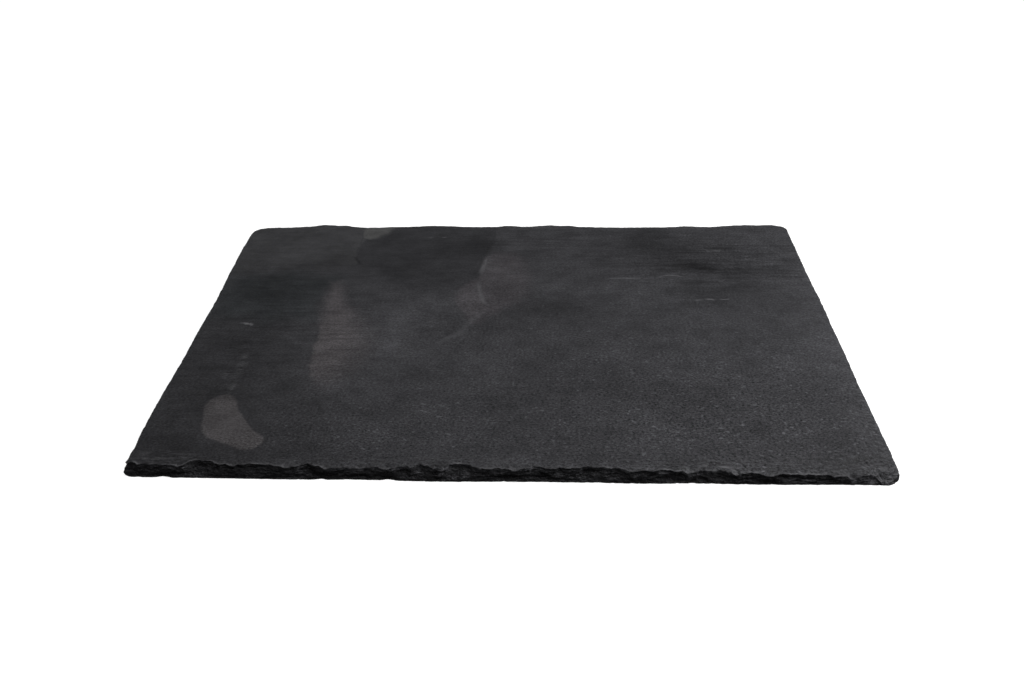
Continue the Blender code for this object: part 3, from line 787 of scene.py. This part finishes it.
def build_upper_face(shell, outline, last, rim):
    """Adds the rings behind the rim and fills the rest."""
    losses = rim_losses(outline)
    reach = np.array((LENGTH / 2.0 - CORE_INSET, WIDTH / 2.0 - CORE_INSET))
    core = np.clip(outline.points, -reach, reach)
    for inwards in RIM_RINGS:
        ring = rim + (core - rim) * inwards / CORE_INSET
        heights = THICKNESS - face_drop(*ring.T) - rim_drop(*ring.T, losses, inwards)
        number = shell.add_points(*ring.T, heights, np.full(len(rim), inwards))
        shell.join_rings(last, number, len(rim), TOP_SLOT)
        last = number
    made, faces, origins = fill_ring(ring, GRID_SPACING, step_lines())
    heights = THICKNESS - face_drop(*made.T)
    to_rim = np.minimum(LENGTH / 2.0 - np.abs(made[:, 0]), WIDTH / 2.0 - np.abs(made[:, 1]))
    shell.add_filled(made, heights, to_rim, faces, origins, len(rim), last, TOP_SLOT)


def build_underside(shell, first, foot):
    """Fills the underside, slightly hollow within its outline."""
    made, faces, origins = fill_ring(foot, UNDER_SPACING, [])
    faces = [face[::-1] for face in faces]
    hollow = np.abs(waves(*made.T, UNDER_RELIEF))
    below = np.full(len(made), -THICKNESS)
    shell.add_filled(made, hollow, below, faces, origins, len(foot), first, UNDER_SLOT)


def closed_distance(outline, xs, ys):
    """Distance to a smooth closed outline, negative inside."""
    curve = smooth_line([*outline, outline[0]])
    distance = np.abs(line_distance(curve, xs, ys)[0])
    return np.where(inside(np.array(curve), xs, ys), -distance, distance)


def soft_sum(spots, xs, ys):
    """Sum of soft round spots at each point."""
    total = np.zeros(len(xs))
    for x, y, half_width, half_depth, gain in spots:
        spread = ((xs - x) / half_width) ** 2 + ((ys - y) / half_depth) ** 2
        total += gain * np.exp(-spread)
    return total


def highlight_and_crack_masks(xs, ys):
    """Share of the way across the nearest fine line, and the line's strength there, a painted
    highlight above 0 and a crack below.
    """
    nearest = np.full(len(xs), np.inf)
    across = np.zeros(len(xs))
    strength = np.zeros(len(xs))
    for line, half_width, peak in HIGHLIGHT_AND_CRACK_LINES:
        distance, run, length = line_distance(smooth_line(line), xs, ys)
        ends = np.clip(np.minimum(run, length - run) / (LINE_TAPER * length), 0.0, 1.0)
        near = np.clip(1.0 - np.abs(distance) / LINE_REACH, 0.0, 1.0) ** 0.5
        nearer = np.abs(distance) < nearest
        nearest[nearer] = np.abs(distance)[nearer]
        across[nearer] = (distance / half_width)[nearer]
        strength[nearer] = (peak * ends * near)[nearer]
    return across, strength


def add_masks(mesh, points, inward, crest, side_mark_and_shading):
    """Stores what the materials need to know at each vertex."""
    xs, ys = points[:, 0], points[:, 1]
    across, strength = highlight_and_crack_masks(xs, ys)
    # Painted highlights, partly pale wear, along the front rim.
    glint_spots = [(place, 0, half_width, math.inf, gain) for place, half_width, gain in RIM_GLINTS]
    at_front = ys < -WIDTH / 2.0 + CORE_INSET
    masks = {"inward": inward, "crest": crest, "side_mark_and_shading": side_mark_and_shading,
             "tone": soft_sum(TONES, xs, ys),
             "grain": 1.0 + soft_sum(GRAINS, xs, ys), "streak": soft_sum(STREAKS, xs, ys),
             "line_across": across, "line_strength": strength,
             "bruise": soft_sum(BRUISES, xs, ys), "rim_glint": at_front * soft_sum(glint_spots, xs, ys)}
    for name, (*_, outline) in PATCHES.items():
        masks[name] = closed_distance(outline, xs, ys)
    for name, values in masks.items():
        attribute = mesh.attributes.new(name, "FLOAT", "POINT")
        attribute.data.foreach_set("value", np.asarray(values, np.float32))


def add_object(name, data):
    """A new object in the scene."""
    made = bpy.data.objects.new(name, data)
    bpy.context.scene.collection.objects.link(made)
    return made


def build_slab():
    """The slab's fine mesh and the shift that centres it on the frame's solid."""
    shell = Shell()
    outline = Outline()
    first, last, foot, rim = build_sides(shell, outline)
    build_upper_face(shell, outline, last, rim)
    build_underside(shell, first, foot)
    points = np.array(shell.points)
    low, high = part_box(NODE)
    wanted = (np.array(low) + np.array(high)) / 2.0 / MM
    shift = wanted - (points.min(axis=0) + points.max(axis=0)) / 2.0
    shift[2] = 0.0
    mesh = bpy.data.meshes.new("slate_surface")
    mesh.from_pydata((points + shift) * MM, [], shell.faces)
    mesh.polygons.foreach_set("material_index", shell.face_slots)
    mesh.shade_smooth()
    off_sides = [0.0] * (len(points) - len(shell.crest))
    add_masks(mesh, points, shell.inward, shell.crest + off_sides, shell.side_mark_and_shading + off_sides)
    return add_object("slate_surface", mesh), shift


# ---- Materials ----

class Graph:
    """Short ways to add shader nodes to one material."""

    def __init__(self, name):
        self.material = bpy.data.materials.new(name)
        self.material.use_nodes = True
        self.tree = self.material.node_tree
        self.shader = self.tree.nodes["Principled BSDF"]
        self.shader.inputs["Specular IOR Level"].default_value = SPECULAR
        self.place = self.stretched(self.node("TexCoord", {}, "Object"), (MM, MM, MM))

    def set(self, socket, value):
        """Links a socket to a node's output, or gives it a plain value."""
        if isinstance(value, bpy.types.NodeSocket):
            self.tree.links.new(value, socket)
        else:
            socket.default_value = value

    def node(self, kind, inputs, output, **settings):
        """Adds a node and returns one of its outputs."""
        node = self.tree.nodes.new("ShaderNode" + kind)
        for name, value in settings.items():
            setattr(node, name, value)
        for socket, value in inputs.items():
            self.set(node.inputs[socket], value)
        return node.outputs[output]

    def stretched(self, vector, lengths):
        """Coordinates in units of a length along each axis."""
        scale = [1.0 / length for length in lengths]
        return self.node("VectorMath", {0: vector, 1: scale}, "Vector", operation="MULTIPLY")

    def mask(self, name):
        """A value stored at the vertices."""
        return self.node("Attribute", {}, "Fac", attribute_name=name)

    def noise(self, lengths, detail, roughness=0.5, seed=0.0):
        """Noise around 0.5, with wavelengths along X, Y and Z."""
        inputs = {"Vector": self.stretched(self.place, lengths), "W": seed, "Scale": 1.0,
                  "Detail": detail, "Roughness": roughness}
        return self.node("TexNoise", inputs, "Fac", noise_dimensions="4D")

    def named_noise(self, name, shift=0.0):
        """One of NOISES, whose seed may be shifted."""
        *shape, seed = NOISES[name]
        return self.noise(*shape, seed + shift)

    def shows(self, name, shift=0.0):
        """How strong a noise lets something be."""
        return self.ramp(self.named_noise(name, shift), *SHOWS[name])

    def facets(self, lengths):
        """Cells of about these sizes, each a sharp-edged pit."""
        inputs = {"Vector": self.stretched(self.place, lengths), "Scale": 1.0}
        return self.node("TexVoronoi", inputs, "Distance")

    def math(self, operation, *values):
        """One math node."""
        return self.node("Math", dict(enumerate(values)), "Value", operation=operation)

    def total(self, *values):
        """Sum of values."""
        return reduce(lambda first, second: self.math("ADD", first, second), values)

    def product(self, *values):
        """Product of values."""
        return reduce(lambda first, second: self.math("MULTIPLY", first, second), values)

    def ramp(self, value, start, end, low=0.0, high=1.0):
        """Maps start..end smoothly to low..high, held at both ends."""
        inputs = {"Value": value, "From Min": start, "From Max": end, "To Min": low,
                  "To Max": high}
        return self.node("MapRange", inputs, "Result", interpolation_type="SMOOTHSTEP")

    def tinted(self, value, tint):
        """A colour: a grey value times a tint."""
        return self.node("VectorMath", {0: tint, "Scale": value}, "Vector", operation="SCALE")

    def mix(self, factor, first, second):
        """Mixes two colours."""
        return self.node("Mix", {"Factor": factor, 6: first, 7: second}, 2, data_type="RGBA")

    def finish(self, colour, roughness, height, depth):
        """Sets the look, with a bump so many millimetres deep."""
        bump = self.node("Bump", {"Distance": depth * MM, "Height": height}, "Normal")
        self.set(self.shader.inputs["Base Color"], colour)
        self.set(self.shader.inputs["Roughness"], roughness)
        self.set(self.shader.inputs["Normal"], bump)
        return self.material


def varied(graph, value, strength):
    """A noise turned into a factor around 1 that strays by so much."""
    strength = graph.product(strength, NOISE_TO_UNIT)
    return graph.math("MULTIPLY_ADD", graph.total(value, -0.5), strength, 1.0)


def patch_mask(graph, name, soft, ragged, wave):
    """1 inside a patch and 0 outside it, with a soft and ragged edge."""
    wander = graph.total(graph.noise((wave, wave, wave), PATCH_DETAIL), -0.5)
    distance = graph.math("MULTIPLY_ADD", wander, ragged, graph.mask(name))
    if isinstance(soft, tuple):
        soft = graph.ramp(graph.node("SeparateXYZ", {0: graph.place}, "X"), *soft)
    return graph.ramp(distance, soft, graph.product(soft, -1.0))


def slate_grain(graph, grain_strength, shift):
    """Fine grain and small painted glints: the factor on the colour, and the grain itself."""
    grain = graph.named_noise("grain", shift)
    factor = varied(graph, grain, graph.product(grain_strength, GRAIN_STRAY))
    # Sparse light dots are painted glints of tiny facets.
    glint_specks = graph.product(graph.shows("glint_specks", shift), grain_strength, grain_strength)
    return graph.math("MULTIPLY_ADD", glint_specks, GLINT_SPECK_GAIN, factor), grain


def wear_and_highlight_share(graph, line, bruise):
    """How much of the pale colour shows: wear, bruises, and painted highlights on light lines and
    at the front rim.
    """
    width = graph.shows("wear_width")
    inward = graph.mask("inward")
    wear = graph.ramp(inward, graph.total(width, WEAR_EDGE), width)
    wear = graph.product(wear, graph.shows("wear"), WEAR_GAIN)
    # Painted highlights, partly pale wear, on the front rim's edge.
    rim_glint = graph.product(graph.mask("rim_glint"), graph.ramp(inward, RIM_GLINT_REACH, 0.0), graph.shows("rim_glint"))
    worn = graph.total(wear, graph.math("MAXIMUM", line, 0.0), bruise, rim_glint)
    return graph.math("MINIMUM", worn, 1.0)


def upper_face_material():
    """Split slate: soft tones, streaks, grain, patches and a worn rim, with painted highlights
    along step edges and at the front rim, and small painted glints.
    """
    graph = Graph("slate_upper_face")
    broad = graph.named_noise("broad")
    cloud = graph.named_noise("cloud")
    streaks = graph.named_noise("streaks")
    grain_factor, grain = slate_grain(graph, graph.mask("grain"), 0.0)
    streak_stray = graph.math("MULTIPLY_ADD", graph.mask("streak"), *STREAK_STRAY)
    # Light lines are painted highlights along step edges, partly bruised edges; dark lines are
    # cracks that darken the colour.
    line = graph.ramp(graph.math("ABSOLUTE", graph.mask("line_across")), 1.0, 0.0)
    line = graph.product(line, graph.mask("line_strength"), graph.shows("line"))
    value = graph.product(SLATE_ALBEDO, graph.total(graph.mask("tone"), 1.0),
                          varied(graph, broad, STRAY["broad"]),
                          varied(graph, cloud, STRAY["cloud"]),
                          varied(graph, streaks, streak_stray), grain_factor,
                          graph.total(graph.math("MINIMUM", line, 0.0), 1.0))
    colour = graph.tinted(value, SLATE_TINT)
    for name, (soft, ragged, wave, gain, tint, _) in PATCHES.items():
        patched = graph.tinted(graph.product(value, gain), tint)
        colour = graph.mix(patch_mask(graph, name, soft, ragged, wave), colour, patched)
    bruise = graph.product(graph.mask("bruise"), graph.shows("bruise"), BRUISE_GAIN)
    # The pale colour is wear and bruising, and painted highlights along lines and at the rim.
    colour = graph.mix(wear_and_highlight_share(graph, line, bruise), colour, WEAR_AND_HIGHLIGHT_COLOUR)
    height = graph.total(graph.product(streaks, STREAK_HEIGHT), grain,
                         graph.product(cloud, CLOUD_HEIGHT), graph.product(bruise, BRUISE_HEIGHT))
    return graph.finish(colour, graph.ramp(cloud, *FACE_ROUGHNESS), height, FACE_BUMP)


def broken_side_material():
    """Fresh broken slate: dull, layered and hackly, with painted glints on its crests, and painted
    light and shade in places on the front side.
    """
    graph = Graph("slate_broken_side")
    layers = graph.named_noise("layers")
    flakes = graph.named_noise("flakes")
    value = graph.product(SIDE_ALBEDO, varied(graph, layers, STRAY["layers"]),
                          varied(graph, flakes, STRAY["flakes"]))
    # Crests that stand out get a painted highlight, as glints on sharp edges of the broken stone.
    ridge_glint = graph.product(graph.ramp(graph.mask("crest"), *CREST_RANGE), graph.shows("ridge_glint"))
    value = graph.math("MAXIMUM", value, SIDE_DARKEST)
    value = graph.math("MULTIPLY_ADD", ridge_glint, RIDGE_GLINT_ALBEDO, value)
    # Paler and darker places on the front side: pale bruises, with painted shade in notches and
    # painted glints on flakes.
    value = graph.product(value, graph.total(graph.mask("side_mark_and_shading"), 1.0))
    height = graph.total(graph.product(layers, LAYER_HEIGHT), flakes, graph.facets(FACETS))
    return graph.finish(graph.tinted(value, SLATE_TINT), graph.ramp(flakes, *SIDE_ROUGHNESS),
                        height, SIDE_BUMP)


def underside_material():
    """Split slate without markings."""
    graph = Graph("slate_underside")
    broad = graph.named_noise("under_broad")
    streaks = graph.named_noise("under_streaks")
    grain_factor, grain = slate_grain(graph, UNDER_GRAIN, UNDER_SHIFT)
    value = graph.product(SLATE_ALBEDO, varied(graph, broad, STRAY["under_broad"]),
                          varied(graph, streaks, STRAY["under_streaks"]), grain_factor)
    height = graph.total(graph.product(streaks, STREAK_HEIGHT), grain)
    return graph.finish(graph.tinted(value, SLATE_TINT), graph.ramp(broad, *FACE_ROUGHNESS),
                        height, FACE_BUMP)


# ---- Studio ----

def add_lamp(name, place, size, power, target):
    """A square soft box aimed at a point."""
    data = bpy.data.lights.new(name, "AREA")
    data.shape = "SQUARE"
    data.size = size
    data.energy = power
    lamp = add_object(name, data)
    lamp.location = place
    lamp.rotation_euler = (Vector(target) - Vector(place)).to_track_quat("-Z", "Y").to_euler()


def studio_material():
    """Matt, and glowing so that it comes out plain white."""
    material = bpy.data.materials.new("white_studio")
    material.use_nodes = True
    for name, value in STUDIO_LOOK.items():
        material.node_tree.nodes["Principled BSDF"].inputs[name].default_value = value
    return material


def add_stage_piece(name, points, faces, material):
    """A piece of the studio, which throws no light on the slab."""
    mesh = bpy.data.meshes.new(name)
    mesh.from_pydata(points, [], faces)
    mesh.materials.append(material)
    piece = add_object(name, mesh)
    piece.visible_diffuse = False
    piece.visible_glossy = False
    return piece


def add_studio():
    """A wide white floor at the slab's foot, with white walls round it."""
    half = FLOOR_SIZE / 2.0
    feet = [(-half, -half, 0.0), (half, -half, 0.0), (half, half, 0.0), (-half, half, 0.0)]
    tops = [(x, y, WALL_HEIGHT) for x, y, _ in feet]
    walls = [(side, (side + 1) % 4, (side + 1) % 4 + 4, side + 4) for side in range(4)]
    material = studio_material()
    add_stage_piece("floor", feet, [(0, 1, 2, 3)], material)
    backdrop = add_stage_piece("backdrop", feet + tops, walls, material)
    backdrop.visible_shadow = False


def add_world():
    """Even pale light from all round."""
    world = bpy.data.worlds.new("studio")
    world.use_nodes = True
    inputs = world.node_tree.nodes["Background"].inputs
    inputs["Color"].default_value = WHITE
    inputs["Strength"].default_value = WORLD_LIGHT
    bpy.context.scene.world = world


def add_camera(shift):
    """The photograph's camera. Yaw turns right from +Y, pitch looks down, roll leans left."""
    yaw, pitch, roll = map(math.radians, (CAMERA_YAW, CAMERA_PITCH, CAMERA_ROLL))
    turn = Matrix.Rotation(-yaw, 4, "Z") @ Matrix.Rotation(math.pi / 2.0 - pitch, 4, "X")
    turn = turn @ Matrix.Rotation(roll, 4, "Z")
    data = bpy.data.cameras.new("camera")
    data.lens = CAMERA_LENS
    data.sensor_width = CAMERA_SENSOR
    data.shift_x = CAMERA_SHIFT
    data.clip_start = CAMERA_NEAREST
    camera = add_object("camera", data)
    camera.matrix_world = Matrix.Translation((Vector(CAMERA_AT) + shift) * MM) @ turn
    bpy.context.scene.camera = camera


def main():
    """Dresses the frame and lights it."""
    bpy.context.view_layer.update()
    slab, shift = build_slab()
    for material in (upper_face_material(), broken_side_material(), underside_material()):
        slab.data.materials.append(material)
    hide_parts(NODE)
    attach(slab, "root")
    add_studio()
    add_world()
    for lamp in LAMPS:
        add_lamp(*lamp)
    add_camera(Vector(shift))
    bpy.context.scene.view_settings.view_transform = "Standard"


main()
